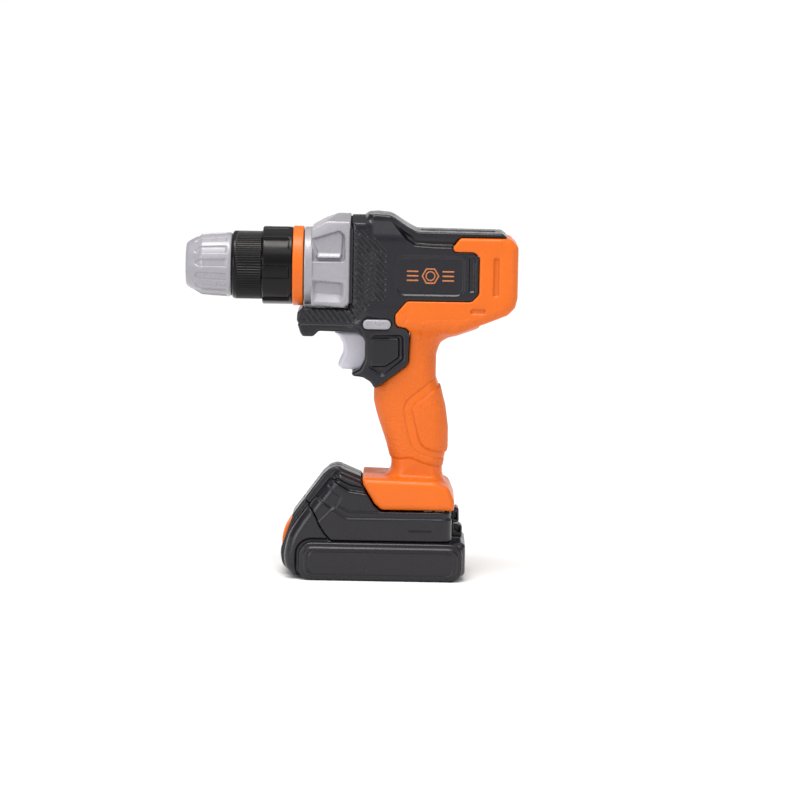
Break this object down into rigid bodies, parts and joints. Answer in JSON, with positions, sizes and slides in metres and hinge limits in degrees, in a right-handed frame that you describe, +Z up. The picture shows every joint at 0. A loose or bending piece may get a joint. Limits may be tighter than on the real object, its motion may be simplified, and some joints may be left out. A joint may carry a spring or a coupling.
{
  "type": "toy power drill",
  "caption": "Toy cordless drill with a spinning square-socket chuck, sprung trigger, direction selector, turning torque ring and slide-off battery pack.",
  "frame": {"origin": "centre of the overall box, at the underside of the battery pack", "axes": "+Z up, the nose points along -X, Y = 0 is the plane where the moulded halves meet"},
  "size_m": [0.191, 0.062, 0.2104],
  "materials": {
    "orange_plastic": "satin, fine grain on the grip",
    "black_plastic": "satin",
    "silver_plastic": "satin, pearl pigment",
    "trigger_plastic": "satin",
    "white_plastic": "satin",
    "steel": "bright",
    "brass": "bright",
    "cell_wrap": "gloss",
    "red_cable": "satin",
    "black_cable": "satin"
  },
  "bodies": {
    "housing": {"body_shell_left": "black_plastic", "body_shell_right": "black_plastic", "handle_shell_left": "orange_plastic", "handle_shell_right": "orange_plastic", "gear_cover_left": "silver_plastic", "gear_cover_right": "silver_plastic", "foot_shell_left": "black_plastic", "foot_shell_right": "black_plastic", "rear_catch": "black_plastic", "collar_ring": "orange_plastic", "spindle_housing": "black_plastic", "front_bush": "brass", "rear_bush": "brass", "gear_pin": "steel", "gear_plate_front": "white_plastic", "gear_plate_rear": "white_plastic", "motor_can": "steel", "motor_end_cap": "white_plastic", "trigger_spring": "steel", "trigger_switch": "black_plastic", "direction_switch": "black_plastic", "battery_lead_red": "red_cable", "battery_lead_black": "black_cable", "motor_lead_red": "red_cable", "motor_lead_black": "black_cable", "terminal_block": "black_plastic", "housing_screw_1": "steel", "housing_screw_2": "steel", "housing_screw_3": "steel", "housing_screw_4": "steel", "housing_screw_5": "steel", "housing_screw_6": "steel", "housing_screw_7": "steel"},
    "chuck": {"chuck_nose": "silver_plastic", "chuck_sleeve": "black_plastic", "bit_socket": "black_plastic", "bit_detent": "steel", "spindle": "steel", "output_gear": "white_plastic"},
    "idler": {"compound_gear": "white_plastic"},
    "rotor": {"motor_pinion": "brass", "motor_shaft": "steel"},
    "torque_ring": {"torque_ring": "black_plastic"},
    "trigger": {"trigger": "trigger_plastic"},
    "selector": {"direction_selector": "silver_plastic"},
    "battery": {"battery_case_left": "black_plastic", "battery_case_right": "black_plastic", "battery_blades": "brass", "release_spring": "steel", "battery_door": "black_plastic", "battery_door_screw": "steel", "aa_cell_1": "cell_wrap", "aa_cell_2": "cell_wrap", "aa_cell_3": "cell_wrap", "cell_contact_front": "steel", "cell_contact_rear": "steel", "housing_screw_8": "steel", "housing_screw_9": "steel"},
    "release": {"release_button": "orange_plastic"}
  },
  "joints": [
    {"name": "chuck_spin", "type": "hinge", "parent": "housing", "child": "chuck", "pos_m": [-0.05, 0, 0.179], "axis": [1, 0, 0], "continuous": true},
    {"name": "idler_spin", "type": "hinge", "parent": "housing", "child": "idler", "pos_m": [0.02, 0, 0.1622], "axis": [1, 0, 0], "continuous": true},
    {"name": "rotor_spin", "type": "hinge", "parent": "housing", "child": "rotor", "pos_m": [0.026, 0, 0.179], "axis": [1, 0, 0], "continuous": true},
    {"name": "torque_ring_turn", "type": "hinge", "parent": "housing", "child": "torque_ring", "pos_m": [-0.043, 0, 0.179], "axis": [1, 0, 0], "range_deg": [-150, 150]},
    {"name": "trigger_pull", "type": "slide", "parent": "housing", "child": "trigger", "axis": [1, 0, 0], "range_m": [0, 0.005], "stiffness_N_per_m": 500, "springref_m": -0.003, "deforming": ["trigger_spring"]},
    {"name": "selector_push", "type": "slide", "parent": "housing", "child": "selector", "axis": [0, 1, 0], "range_m": [-0.0025, 0.0025]},
    {"name": "battery_slide", "type": "slide", "parent": "housing", "child": "battery", "axis": [-1, 0, 0], "range_m": [0, 0.112]},
    {"name": "release_push", "type": "slide", "parent": "battery", "child": "release", "axis": [0.9458, 0, -0.3248], "range_m": [0, 0.0025], "stiffness_N_per_m": 400, "springref_m": -0.002, "deforming": ["release_spring"]}
  ],
  "couplings": [
    {"joint": "idler_spin", "follows": "chuck_spin", "ratio": -2.5},
    {"joint": "rotor_spin", "follows": "chuck_spin", "ratio": 8}
  ]
}
